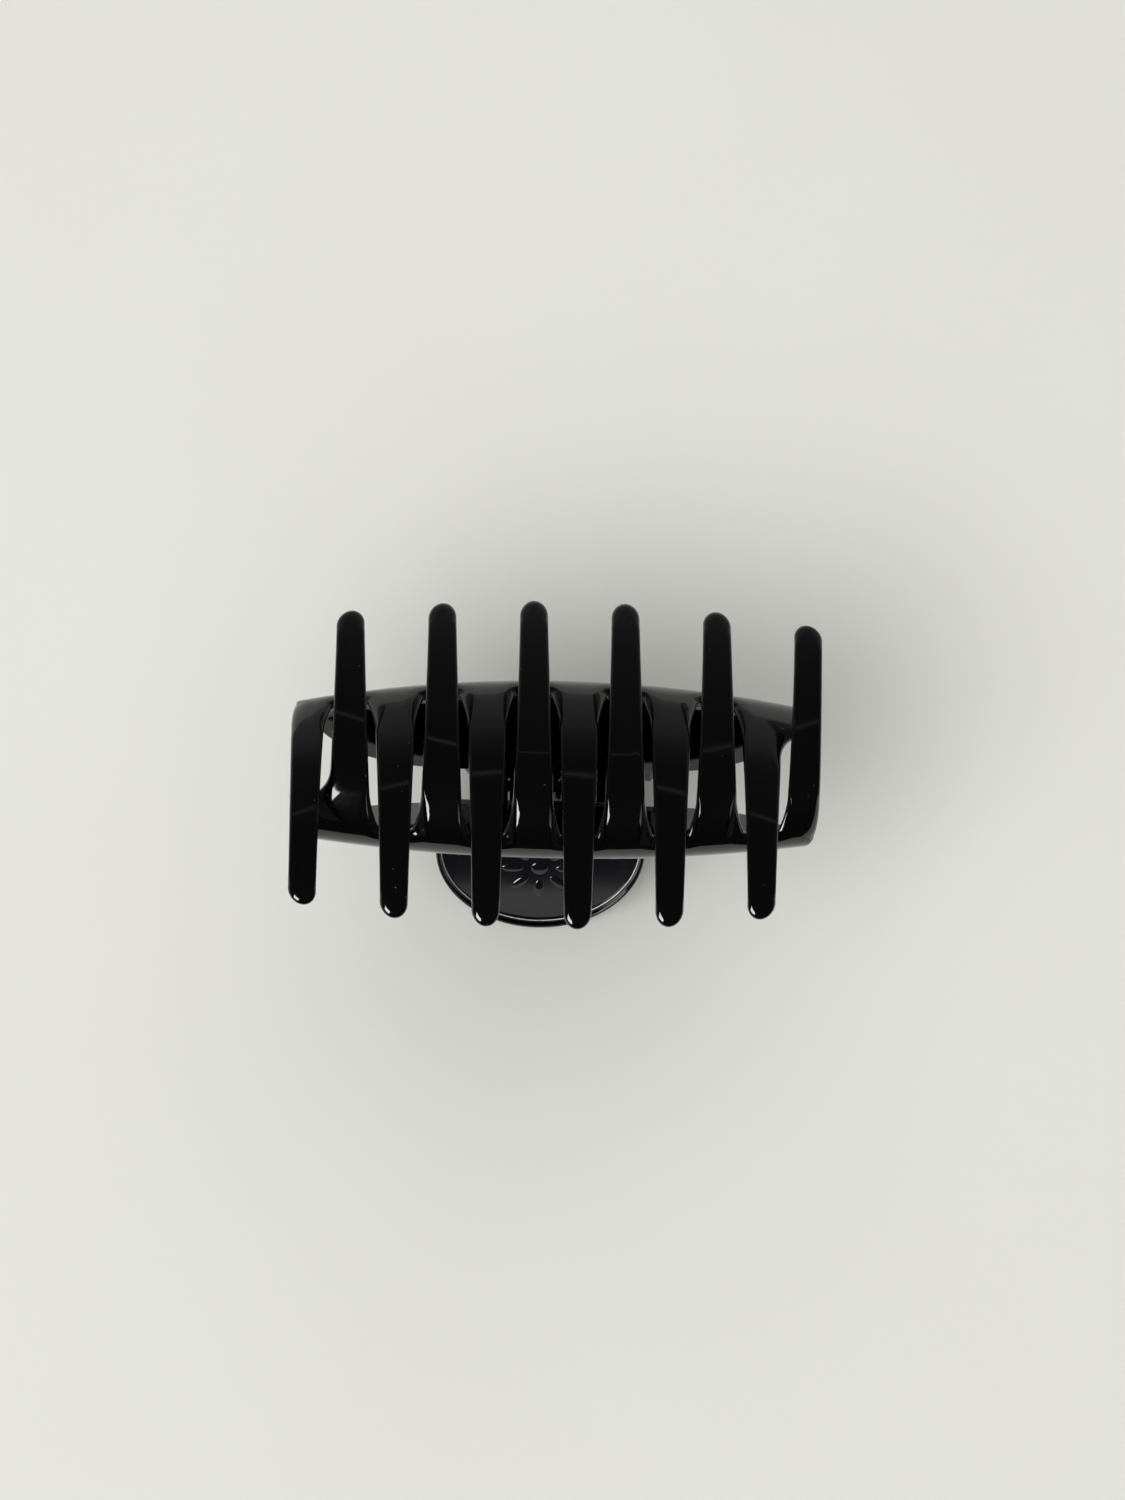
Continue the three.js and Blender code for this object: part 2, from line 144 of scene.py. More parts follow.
class Skin:
    """Points, normals and faces of one mesh, in millimetres."""

    def __init__(self):
        self.points, self.normals, self.faces, self.slots = [], [], [], []
        self.count = 0

    def add(self, points, normals, faces, slot=0):
        """Adds points, and faces over them. Returns the number of the first point."""
        start = self.count
        self.count += len(points)
        self.points.append(points)
        self.normals.append(unit(normals))
        for face in faces:
            self.faces.append([start + int(i) for i in face])
            self.slots.append(slot)
        return start

    def rings(self, rings, slot=0, loop=False, cap_first=False, cap_last=False):
        """Quads between rings of (points, normals), each ring with the same number of points.

        A loop joins the last ring to the first, and a cap closes a ring with one face. Returns
        the number of the first point.
        """
        size = len(rings[0][0])
        count = len(rings)
        faces = []
        for i in range(count if loop else count - 1):
            a, b = i * size, ((i + 1) % count) * size
            for j in range(size):
                k = (j + 1) % size
                faces.append((a + j, a + k, b + k, b + j))
        if cap_first:
            faces.append(range(size))
        if cap_last:
            faces.append(range(size * (count - 1), size * count))
        points = np.concatenate([r[0] for r in rings])
        normals = np.concatenate([r[1] for r in rings])
        return self.add(points, normals, faces, slot)

    def make(self, name, materials, turned=False):
        """A mesh object. Each face is turned to agree with its points' normals."""
        points = np.concatenate(self.points)
        normals = np.concatenate(self.normals)
        if turned:
            points, normals = points * HALF_TURN, normals * HALF_TURN
        faces = []
        for face in self.faces:
            p = points[face]
            around = np.cross(p - p[0], np.roll(p, -1, axis=0) - p[0]).sum(0)
            faces.append(face if around @ normals[face].sum(0) >= 0 else face[::-1])
        mesh = bpy.data.meshes.new(name)
        mesh.from_pydata((points * MM).tolist(), [], faces)
        mesh.polygons.foreach_set("use_smooth", [True] * len(faces))
        mesh.polygons.foreach_set("material_index", self.slots)
        mesh.update()
        mesh.normals_split_custom_set_from_vertices(normals.tolist())
        for material in materials:
            mesh.materials.append(material)
        piece = bpy.data.objects.new(name, mesh)
        bpy.context.scene.collection.objects.link(piece)
        return piece


def unit(vectors):
    return vectors / np.linalg.norm(vectors, axis=1)[:, None]


def turned_in(outline):
    """Inward normals of a closed outline that runs counter-clockwise in its plane."""
    ahead = unit(np.roll(outline, -1, axis=0) - outline)
    behind = unit(outline - np.roll(outline, 1, axis=0))
    along = unit(ahead + behind)
    return np.column_stack([-along[:, 1], along[:, 0]])


# ---- the face of a jaw ------------------------------------------------------------------------

SHOULDER_Y = BULGE_Y - SHOULDER_RADIUS * (1 - math.cos(SHOULDER_TURN))
CREST_RADIUS = (SHOULDER_Y - CREST_Y) / math.cos(SHOULDER_TURN)
SHOULDER_LENGTH = SHOULDER_RADIUS * SHOULDER_TURN
CREST_AT = SHOULDER_LENGTH + CREST_RADIUS * (math.pi / 2 - SHOULDER_TURN)
TIP_AT = CREST_AT + TOOTH_RADIUS * math.asin((CREST_Y - TIP_Y) / TOOTH_RADIUS)
BELLY_LENGTH = BELLY_RADIUS * BELLY_TURN
TIP_START = TIP_AT - TIP_LENGTH
LAST_TOOTH = TOOTH_COUNT - 1


def profile(s):
    """y, z and outward angle of the outer face at the distance s along it from the bulge."""
    turned = np.clip(-s, 0, BELLY_LENGTH) / BELLY_RADIUS
    straight = np.clip(-s - BELLY_LENGTH, 0, None)
    shoulder = np.clip(s, 0, SHOULDER_LENGTH) / SHOULDER_RADIUS
    crest = np.clip(s - SHOULDER_LENGTH, 0, CREST_AT - SHOULDER_LENGTH) / CREST_RADIUS
    tip = np.clip(s - CREST_AT, 0, None) / TOOTH_RADIUS
    y = (
        BULGE_Y
        - BELLY_RADIUS * (1 - np.cos(turned))
        - straight * math.sin(BELLY_TURN)
        - SHOULDER_RADIUS * (1 - np.cos(shoulder))
        + CREST_RADIUS * (np.cos(SHOULDER_TURN + crest) - math.cos(SHOULDER_TURN))
        - TOOTH_RADIUS * np.sin(tip)
    )
    z = (
        BULGE_Z
        - BELLY_RADIUS * np.sin(turned)
        - straight * math.cos(BELLY_TURN)
        + SHOULDER_RADIUS * np.sin(shoulder)
        + CREST_RADIUS * (np.sin(SHOULDER_TURN + crest) - math.sin(SHOULDER_TURN))
        - TOOTH_RADIUS * (1 - np.cos(tip))
    )
    return y, z, shoulder + crest + tip - turned


def on_jaw(x, s, depth):
    """Points of the rear jaw at x along the hinge, s along the face, depth below the face."""
    y, z, angle = profile(s)
    y = y - depth * np.cos(angle)
    z = z - depth * np.sin(angle)
    reach = np.where(y > CREST_Y, BULGE_Y - CREST_Y, CREST_Y - TIP_Y)
    narrowed = CREST_Y + (y - CREST_Y) * (1 - SAG * x * x / reach)
    lowered = z * (1 - END_DROP * x * x * (y - TIP_Y) / (BULGE_Y - TIP_Y))
    return np.column_stack([x, narrowed, HINGE_HEIGHT + lowered])


def jaw_axes(x, s, depth):
    """Unit vectors along x, along s and outwards at points of the jaw."""
    h = 1e-3  # a small step, for the slopes
    along_x = unit(on_jaw(x + h, s, depth) - on_jaw(x - h, s, depth))
    along_s = unit(on_jaw(x, s + h, depth) - on_jaw(x, s - h, depth))
    return along_x, along_s, unit(np.cross(along_s, along_x))


def thickness(s):
    along = np.clip((s - ARCH_EDGE) / (TIP_START - ARCH_EDGE), 0, 1)
    return WALL + (TIP_THICKNESS - WALL) * along


def tooth_middle(index, s):
    """x of a tooth's middle line at the height s."""
    centre = (index - LAST_TOOTH / 2) * TOOTH_PITCH + TOOTH_SHIFT
    return centre + TOOTH_SLANT * (s / TIP_AT - 0.5)


def tooth_side(index, side):
    """Points (x, s) of one side of a tooth, from the band's edge up to the start of the tip."""
    at_bare_end = index == LAST_TOOTH and side > 0
    corner = np.radians(np.linspace(0, 90, 9))
    straight = np.linspace(ARCH_CORNER, TIP_START - ARCH_EDGE, 46)[1:]
    rise = np.concatenate([ARCH_CORNER * (1 - np.cos(corner)), straight])
    s = ARCH_EDGE + rise
    width, length = END_FLARE if at_bare_end else FLARE
    if at_bare_end:
        flared = np.linspace(BARE_EDGE, BARE_EDGE + length, 20)
        s = np.concatenate([flared, s[s > BARE_EDGE + length + 0.5]])
        rise = s - BARE_EDGE
    narrowing = np.clip((s - TAPER_START) / (TIP_START - TAPER_START), 0, 1)
    half = TIP_HALF_WIDTH + (ROOT_HALF_WIDTH - TIP_HALF_WIDTH) * (1 - narrowing) ** TAPER_POWER
    half = half + width * np.clip(1 - rise / length, 0, None) ** (2.5 if at_bare_end else 1.5)
    if not at_bare_end:
        short = np.clip(ARCH_CORNER - rise, 0, None)
        half = half + ARCH_CORNER - np.sqrt(ARCH_CORNER**2 - short**2)
    return np.column_stack([tooth_middle(index, s) + side * half, s])


def lower_edge():
    """The band's rounded lower edge, (x, s), from the end tooth's side to the bare end."""
    turn = np.radians(np.linspace(90, 8, 70))
    end_x = -HALF_LENGTH * np.sin(turn) ** (2 / END_POWER)
    end_s = -BAND_DEPTH + END_RISE * (1 - np.cos(turn))
    left = np.column_stack([end_x, end_s])
    middle_x = np.linspace(end_x[-1], -end_x[-1], 44)[1:-1]
    below = np.sqrt(1 - (np.abs(middle_x) / HALF_LENGTH) ** END_POWER)
    middle = np.column_stack([middle_x, -BAND_DEPTH + END_RISE * (1 - below)])
    right = left[::-1] * [-1.0, 1.0]
    right = right[(right[:, 0] < BARE_END - 0.25) & (right[:, 1] < 5)]  # the bare end is cut off
    return np.concatenate([left, middle, right])


def bare_corner():
    """The bare end's rounded upper corner, (x, s), up to the foot of the last tooth's side."""
    turn = np.radians(np.linspace(0, 90, 14))
    x = BARE_END - BARE_CORNER + BARE_CORNER * np.cos(turn)
    s = BARE_EDGE - BARE_CORNER + BARE_CORNER * np.sin(turn)
    foot_x = tooth_side(LAST_TOOTH, 1)[0, 0]
    return np.column_stack([x, s])[x > foot_x + 0.4]


def end_side():
    """The end tooth's outer side, (x, s), from its tip down to the lower edge."""
    lean = 6  # the side takes this length to reach the jaw's end
    s = np.linspace(TIP_START, END_RISE - BAND_DEPTH, 40)[:-1]
    tip_x = tooth_middle(0, TIP_START) - TIP_HALF_WIDTH
    x = tip_x + (-HALF_LENGTH - tip_x) * np.clip((TIP_START - s) / lean, 0, 1)
    return np.column_stack([x, s])


def comb_outline():
    """The comb of a jaw laid flat: (x, s) all round it, counter-clockwise."""
    turn = np.radians(np.linspace(0, 180, 25))[1:-1]
    tip = np.column_stack([TIP_HALF_WIDTH * np.cos(turn), TIP_LENGTH * np.sin(turn)])
    runs = [lower_edge(), bare_corner()]
    for index in reversed(range(TOOTH_COUNT)):
        runs.append(tooth_side(index, 1))
        runs.append(tip + [tooth_middle(index, TIP_START), TIP_START])
        if index:
            side = tooth_side(index, -1)[::-1]
            next_x = tooth_side(index - 1, 1)[0, 0]
            gap_x = np.linspace(side[-1, 0], next_x, 7)[1:-1]
            runs += [side, np.column_stack([gap_x, np.full(len(gap_x), ARCH_EDGE)])]
    runs.append(end_side())
    outline = np.concatenate(runs)
    apart = np.linalg.norm(outline - np.roll(outline, 1, axis=0), axis=1)
    return outline[apart > 0.02]


def smooth_step(t):
    """From 0 at 0 to 1 at 1, level at both ends."""
    t = np.clip(t, 0, 1)
    return t * t * (3 - 2 * t)


def comb_rounding(outline):
    """How far the edge is rounded: more at the roots and tips, less along the lower edge."""
    x, s = outline[:, 0], outline[:, 1]
    last_x = LAST_TOOTH / 2 * TOOTH_PITCH + TOOTH_SHIFT
    foot = s - np.where(x > last_x, BARE_EDGE, ARCH_EDGE)  # height above the root's foot
    root = smooth_step((foot + 3.5) / 3) * (1 - smooth_step((foot - 3) / 8))
    rounding = LOWER_ROUNDING + (TOOTH_ROUNDING - LOWER_ROUNDING) * smooth_step((s + 5) / 15)
    rounding = rounding + (ROOT_ROUNDING - rounding) * root
    rounding += (TIP_ROUNDING - TOOTH_ROUNDING) * smooth_step((s - TIP_START + 3) / 4)
    return rounding


def add_comb(skin):
    """The band and its teeth: a rounded edge all round, and the two faces filled in."""
    outline = comb_outline()
    s = outline[:, 1]
    inward = turned_in(outline)
    rounding = comb_rounding(outline)
    depth_rounding = np.minimum(rounding, DEEPEST_ROUNDING)

    def ring(turn, inner):
        at = outline + inward * (rounding * (1 - math.cos(turn)))[:, None]
        sunk = depth_rounding * (1 - math.sin(turn))
        depth = thickness(s) - sunk if inner else sunk
        along_x, along_s, out = jaw_axes(at[:, 0], at[:, 1], depth)
        side = -inward[:, :1] * along_x - inward[:, 1:] * along_s
        side = unit(side - out * np.sum(side * out, axis=1)[:, None])
        towards = -math.sin(turn) if inner else math.sin(turn)
        normal = side * (math.cos(turn) / rounding)[:, None]
        normal += out * (towards / depth_rounding)[:, None]
        return on_jaw(at[:, 0], at[:, 1], depth), normal

    turns = [math.pi / 2 * i / EDGE_STEPS for i in range(EDGE_STEPS + 1)]
    rings = [ring(t, False) for t in reversed(turns)] + [ring(t, True) for t in turns]
    size = len(outline)
    first = skin.rings(rings)

    # the innermost ring, and a grid of points inside it, cut into triangles
    hem = outline + inward * rounding[:, None]
    inside = grid_inside(hem, 1.6, 0.9, 0.5)
    points = [Vector(p) for p in np.concatenate([hem, inside]).tolist()]
    edges = [(i, (i + 1) % size) for i in range(size)]
    _, _, triangles, source, _, _ = delaunay_2d_cdt(points, edges, [], 1, 1e-7)
    index_of = [ids[0] for ids in source]
    triangles = np.array([[index_of[i] for i in t] for t in triangles])
    for inner in (False, True):
        depth = thickness(inside[:, 1]) if inner else np.zeros(len(inside))
        _, _, out = jaw_axes(inside[:, 0], inside[:, 1], depth)
        start = skin.add(on_jaw(inside[:, 0], inside[:, 1], depth), -out if inner else out, [])
        hem_start = first + (size * (len(rings) - 1) if inner else 0)
        where = np.where(triangles < size, triangles + hem_start, triangles - size + start)
        skin.faces += where.tolist()
        skin.slots += [0] * len(where)


def grid_inside(outline, step_x, step_y, margin):
    """Grid points inside a closed outline, at least margin from it."""
    lo, hi = outline.min(0), outline.max(0)
    xs = np.arange(lo[0] + step_x / 2, hi[0], step_x)
    ys = np.arange(lo[1] + step_y / 2, hi[1], step_y)
    grid = np.stack(np.meshgrid(xs, ys), -1)
    grid[1::2, :, 0] += step_x / 2
    grid = grid.reshape(-1, 2)
    a, b = outline, np.roll(outline, -1, axis=0)
    keep = []
    for start in range(0, len(grid), 500):
        p = grid[start : start + 500, None]
        crosses = (a[:, 1] > p[..., 1]) != (b[:, 1] > p[..., 1])
        with np.errstate(divide="ignore", invalid="ignore"):
            at = a[:, 0] + (p[..., 1] - a[:, 1]) / (b[:, 1] - a[:, 1]) * (b[:, 0] - a[:, 0])
        within = np.sum(crosses & (p[..., 0] < at), axis=1) % 2 == 1
        share = np.clip(np.sum((p - a) * (b - a), -1) / np.sum((b - a) ** 2, -1), 0, 1)
        away = np.linalg.norm(p - (a + share[..., None] * (b - a)), axis=-1).min(1)
        keep.append(p[within & (away > margin), 0])
    return np.concatenate(keep)


# ---- the handle -------------------------------------------------------------------------------

DOWN_SLOPE = np.array([0.0, math.cos(HANDLE_SLOPE), -math.sin(HANDLE_SLOPE)])
OFF_SLOPE = np.array([0.0, math.sin(HANDLE_SLOPE), math.cos(HANDLE_SLOPE)])
SLOPE_START = np.array([0.0, 0.0, HINGE_HEIGHT]) + OFF_SLOPE * HANDLE_OFFSET


def on_handle(x, along, above):
    """Points of the rear handle: along is down the slope, above is out from the rim's plane."""
    x, along, above = np.broadcast_arrays(x, along, above)
    return (
        SLOPE_START
        + x[:, None] * [1.0, 0.0, 0.0]
        + along[:, None] * DOWN_SLOPE
        + above[:, None] * OFF_SLOPE
    )


def d_shape(radius, chord, arc_steps=120, chord_steps=30):
    """A round outline cut off straight at chord: (x, along) and the outward direction."""
    dip = math.asin((chord - HANDLE_CENTRE) / radius)
    turn = np.linspace(dip, math.pi - dip, arc_steps + 1)
    out = np.column_stack([np.cos(turn), np.sin(turn)])
    arc = out * radius + [HANDLE_SHIFT, HANDLE_CENTRE]
    x = np.linspace(arc[-1, 0], arc[0, 0], chord_steps + 1)[1:-1]
    straight = np.column_stack([x, np.full(len(x), chord)])
    up = np.tile([0.0, -1.0], (len(x), 1))
    return np.concatenate([arc, straight]), np.concatenate([out, up])


def plate_ring(radius, chord, above, outward, upward):
    """A ring of the plate, its normals leaning outward and upward by these shares."""
    outline, out = d_shape(radius, chord)
    sideways = out[:, :1] * [1.0, 0.0, 0.0] + out[:, 1:] * DOWN_SLOPE
    return on_handle(outline[:, 0], outline[:, 1], above), outward * sideways + upward * OFF_SLOPE


def plate_face(skin, radius, chord, above, upward):
    """A flat D-shaped face that looks up the plate (1) or down (-1)."""
    points, normals = plate_ring(radius, chord, above, 0, upward)
    skin.add(points, normals, [range(len(points))])


def rounded_edge(radius, chord, above, rounding, start, end):
    """Rings round an edge of the plate. Degrees are from straight outward, turning up."""
    middle_out = 1 if end > 90 else -1  # the pocket's edge is rounded away from the middle
    middle_up = 1 if start < 0 else -1
    rings = []
    for i in range(6):
        turn = math.radians(start + (end - start) * i / 5)
        c, u = math.cos(turn), math.sin(turn)
        grow, rise = rounding * (c + middle_out), rounding * (u + middle_up)
        rings.append(plate_ring(radius + grow, chord - grow, above + rise, c, u))
    return rings


def add_plate(skin):
    """The round plate with its raised rim. Its straight edge is buried in the knee."""
    back, outer_chord = -HANDLE_THICKNESS, KNEE_START - 0.4
    rings = rounded_edge(HANDLE_RADIUS, outer_chord, back, 0.6, -90, 0)
    rings += rounded_edge(HANDLE_RADIUS, outer_chord, 0.0, 0.35, 0, 90)
    rings += rounded_edge(POCKET_RADIUS, KNEE_END, 0.0, 0.2, 90, 180)
    rings.append(plate_ring(POCKET_RADIUS, KNEE_END, -POCKET_DEPTH, -1, 0))
    skin.rings(rings, cap_first=True)
    plate_face(skin, POCKET_RADIUS, KNEE_END, -POCKET_DEPTH, 1)


def add_prism(skin, outline, x0, x1, rounding):
    """Prism along X over an outline of (y, z) from the hinge, all its edges rounded."""
    ahead = np.roll(outline, -1, axis=0)
    if np.sum(outline[:, 0] * ahead[:, 1] - ahead[:, 0] * outline[:, 1]) < 0:
        outline = outline[::-1]
    inward = turned_in(outline)

    def ring(x, inset, out, along):
        at = outline + inward * inset
        points = np.column_stack([np.full(len(at), x), at[:, 0], HINGE_HEIGHT + at[:, 1]])
        return points, np.column_stack([np.full(len(at), along), -inward * out])

    rings = []
    for x, end in ((x0, -1), (x1, 1)):
        for turn in QUARTER if end > 0 else reversed(QUARTER):
            s, c = math.sin(turn), math.cos(turn)
            rings.append(ring(x - end * rounding * (1 - s), rounding * (1 - c), c, end * s))
    skin.rings(rings, cap_first=True, cap_last=True)


def rounded(corners, radius, steps=6):
    """A closed polygon with its corners rounded off."""
    corners = [np.array(c, float) for c in corners]
    most = 0.45  # the share of a side that one corner may take
    points = []
    for i, at in enumerate(corners):
        before, after = corners[i - 1], corners[(i + 1) % len(corners)]
        to_before = (before - at) / np.linalg.norm(before - at)
        to_after = (after - at) / np.linalg.norm(after - at)
        half = math.acos(float(np.clip(to_before @ to_after, -1, 1))) / 2
        reach = min(
            radius / math.tan(half),
            most * np.linalg.norm(before - at),
            most * np.linalg.norm(after - at),
        )
        start, end = at + to_before * reach, at + to_after * reach
        for k in range(steps + 1):
            t = k / steps
            points.append((1 - t) ** 2 * start + 2 * t * (1 - t) * at + t * t * end)
    return np.array(points)


def on_slope(along, above):
    """(y, z) from the hinge of a point of the handle."""
    out = HANDLE_OFFSET + above
    return (
        along * math.cos(HANDLE_SLOPE) + out * math.sin(HANDLE_SLOPE),
        -along * math.sin(HANDLE_SLOPE) + out * math.cos(HANDLE_SLOPE),
    )


def on_band(s, depth):
    """(y, z) from the hinge of a point in the middle of the band."""
    y, z, angle = profile(np.array(s))
    return float(y - depth * np.cos(angle)), float(z - depth * np.sin(angle))


def add_knee(skin):
    """Joins the band's lower edge to the plate."""
    half = math.sqrt(HANDLE_RADIUS**2 - (HANDLE_CENTRE - KNEE_START) ** 2) - 0.2
    outline = rounded(
        [
            on_slope(KNEE_START - 0.6, -HANDLE_THICKNESS),
            on_slope(KNEE_END, -HANDLE_THICKNESS),
            on_slope(KNEE_END, -0.02),
            on_band(2.2 - BAND_DEPTH, 0.1),
            on_band(3.5 - BAND_DEPTH, WALL / 2),
            on_band(0.3 - BAND_DEPTH, WALL - 0.3),
        ],
        0.5,
    )
    add_prism(skin, outline, HANDLE_SHIFT - half, HANDLE_SHIFT + half, 0.5)


def add_lug(skin, span):
    """A lug bored for the pin, its foot buried in the knee and the band."""
    foot = [(3.0, -4.6), (5.5, -3.0), (5.0, 0.2)]
    nose = [
        (LUG_RADIUS * math.cos(t), LUG_RADIUS * math.sin(t))
        for t in np.linspace(math.radians(56.8), math.radians(245), 40)
    ]
    # the outline as a ray from the pin meets it, so that it pairs off with the bore
    turns = np.linspace(0, 2 * math.pi, 96, endpoint=False)
    rays = np.column_stack([np.cos(turns), np.sin(turns)])
    a = np.array(nose + foot)
    d = np.roll(a, -1, axis=0) - a
    cross = rays[:, None, 0] * d[:, 1] - rays[:, None, 1] * d[:, 0]
    with np.errstate(divide="ignore", invalid="ignore"):
        far = (a[:, 0] * d[:, 1] - a[:, 1] * d[:, 0]) / cross
        share = (a[:, 0] * rays[:, None, 1] - a[:, 1] * rays[:, None, 0]) / cross
    hit = (far > 0) & (share >= -1e-6) & (share <= 1 + 1e-6)
    outline = rays * np.where(hit, far, np.inf).min(1)[:, None]
    outward = -turned_in(outline)

    def ring(x, edge, out, along, bore):
        at = rays * (BORE_RADIUS + edge) if bore else outline - outward * edge
        side = -rays * out if bore else outward * out
        points = np.column_stack([np.full(len(at), x), at[:, 0], HINGE_HEIGHT + at[:, 1]])
        return points, np.column_stack([np.full(len(at), along), side])

    x0, x1 = span
    rings = []
    for x, end, bore in ((x1, 1, False), (x1, 1, True), (x0, -1, True), (x0, -1, False)):
        edge = 0.12 if bore else 0.3
        for turn in QUARTER if (end > 0) != bore else reversed(QUARTER):
            s, c = math.sin(turn), math.cos(turn)
            rings.append(ring(x - end * edge * (1 - s), edge * (1 - c), c, end * s, bore))
    skin.rings(rings, loop=True)


# ---- materials --------------------------------------------------------------------------------


class Nodes:
    """A material's node tree with a Principled shader, built call by call."""

    def __init__(self, name):
        self.material = bpy.data.materials.new(name)
        self.material.use_nodes = True
        self.tree = self.material.node_tree
        self.shader = self.tree.nodes["Principled BSDF"]
        self.coords = self.add("ShaderNodeTexCoord").outputs["Object"]

    def add(self, kind, **values):
        """A node, with these of its properties or inputs set."""
        node = self.tree.nodes.new(kind)
        for key, value in values.items():
            if hasattr(node, key):
                setattr(node, key, value)
            else:
                node.inputs[key.replace("_", " ").title()].default_value = value
        return node

    def link(self, source, target):
        self.tree.links.new(source, target)

    def noise(self, scale, detail=2.0, roughness=0.5):
        node = self.add("ShaderNodeTexNoise", scale=scale, detail=detail, roughness=roughness)
        self.link(self.coords, node.inputs["Vector"])
        return node.outputs["Fac"]

    def ramp(self, source, stops):
        """A colour ramp through (place, grey or colour) stops."""
        node = self.add("ShaderNodeValToRGB")
        self.link(source, node.inputs["Fac"])
        elements = node.color_ramp.elements
        while len(elements) < len(stops):
            elements.new(0.5)
        for element, (place, value) in zip(elements, stops):
            element.position = place
            colour = value if isinstance(value, tuple) else (value, value, value)
            element.color = (*colour, 1.0)
        return node.outputs["Color"]

    def specks(self, scale, size):
        """Small round specks, in about every third cell: 1 on a speck, else 0."""
        node = self.add("ShaderNodeTexVoronoi", scale=scale)
        self.link(self.coords, node.inputs["Vector"])
        near = self.ramp(node.outputs["Distance"], [(size * 0.6, 1.0), (size, 0.0)])
        some = self.ramp(node.outputs["Color"], [(0.70, 0.0), (0.72, 1.0)])
        return self.combine("MULTIPLY", near, some)

    def combine(self, operation, a, b):
        node = self.add("ShaderNodeMath", operation=operation)
        self.link(a, node.inputs[0])
        self.link(b, node.inputs[1])
        return node.outputs[0]

    def mix(self, factor, a, b):
        """a where the factor is 0 and b where it is 1, each a socket or a colour."""
        node = self.add("ShaderNodeMix", data_type="RGBA")
        self.link(factor, node.inputs[0])
        for socket, value in ((node.inputs[6], a), (node.inputs[7], b)):
            if isinstance(value, bpy.types.NodeSocket):
                self.link(value, socket)
            else:
                socket.default_value = (*value, 1.0)
        return node.outputs[2]

    def bump(self, source, distance, strength=1.0, after=None):
        node = self.add("ShaderNodeBump", strength=strength, distance=distance)
        self.link(source, node.inputs["Height"])
        if after is not None:
            self.link(after, node.inputs["Normal"])
        return node.outputs["Normal"]

    def feed(self, source, name):
        self.link(source, self.shader.inputs[name])


def black_plastic():
    """Polished black moulding, with the odd speck of dust and faint unevenness in the gloss."""
    n = Nodes("black_plastic")
    dust = n.specks(230.0, 0.055)
    lint = n.specks(600.0, 0.08)
    both = n.combine("MAXIMUM", dust, lint)
    tint = n.ramp(
        n.noise(90.0), [(0.3, (0.0011, 0.0011, 0.0012)), (0.7, (0.0016, 0.0015, 0.0015))]
    )
    n.feed(n.mix(both, tint, (0.035, 0.034, 0.032)), "Base Color")
    gloss = n.ramp(n.noise(45.0, 4.0), [(0.3, 0.045), (0.75, 0.085)])
    n.feed(n.mix(both, gloss, (0.5, 0.5, 0.5)), "Roughness")
    uneven = n.bump(n.noise(60.0, 1.0), 0.0001, 0.25)
    n.feed(n.bump(both, 0.00006, 0.5, uneven), "Normal")
    n.shader.inputs["IOR"].default_value = 1.5
    return n.material


def black_enamel():
    """The inlay's deep blue-black mirror gloss."""
    n = Nodes("black_enamel")
    tint = n.ramp(n.noise(120.0), [(0.3, (0.0045, 0.0045, 0.008)), (0.7, (0.006, 0.006, 0.0105))])
    n.feed(n.mix(n.specks(420.0, 0.1), tint, (0.08, 0.08, 0.08)), "Base Color")
    n.feed(n.ramp(n.noise(50.0, 3.0), [(0.3, 0.05), (0.7, 0.12)]), "Roughness")
    n.feed(n.bump(n.noise(35.0, 1.0), 0.0002, 0.2), "Normal")
    n.shader.inputs["IOR"].default_value = 1.55
    return n.material


def bright_edge():
    """The inlay's thin bright edge."""
    n = Nodes("bright_edge")
    tint = n.ramp(n.noise(900.0), [(0.3, (0.66, 0.66, 0.64)), (0.7, (0.78, 0.78, 0.76))])
    n.feed(tint, "Base Color")
    n.feed(n.ramp(n.noise(1500.0), [(0.3, 0.35), (0.7, 0.55)]), "Roughness")
    n.shader.inputs["Metallic"].default_value = 0.15
    return n.material


def black_steel():
    """Black-coated spring steel, a little worn in places."""
    n = Nodes("black_steel")
    worn = n.ramp(n.noise(700.0, 6.0, 0.7), [(0.62, 0.0), (0.72, 1.0)])
    n.feed(n.mix(worn, (0.012, 0.012, 0.013), (0.09, 0.088, 0.085)), "Base Color")
    n.feed(n.ramp(n.noise(400.0, 4.0), [(0.3, 0.28), (0.7, 0.42)]), "Roughness")
    n.feed(n.bump(n.noise(2500.0, 3.0), 0.00002, 0.4), "Normal")
    n.shader.inputs["Metallic"].default_value = 0.5
    return n.material


PLASTIC = black_plastic()
ENAMEL = black_enamel()
EDGE = bright_edge()
STEEL = black_steel()

# ---- pieces -----------------------------------------------------------------------------------


def jaw_skin():
    """The whole moulding of the rear jaw."""
    skin = Skin()
    add_comb(skin)
    add_plate(skin)
    add_knee(skin)
    for span in LUGS:
        add_lug(skin, span)
    return skin


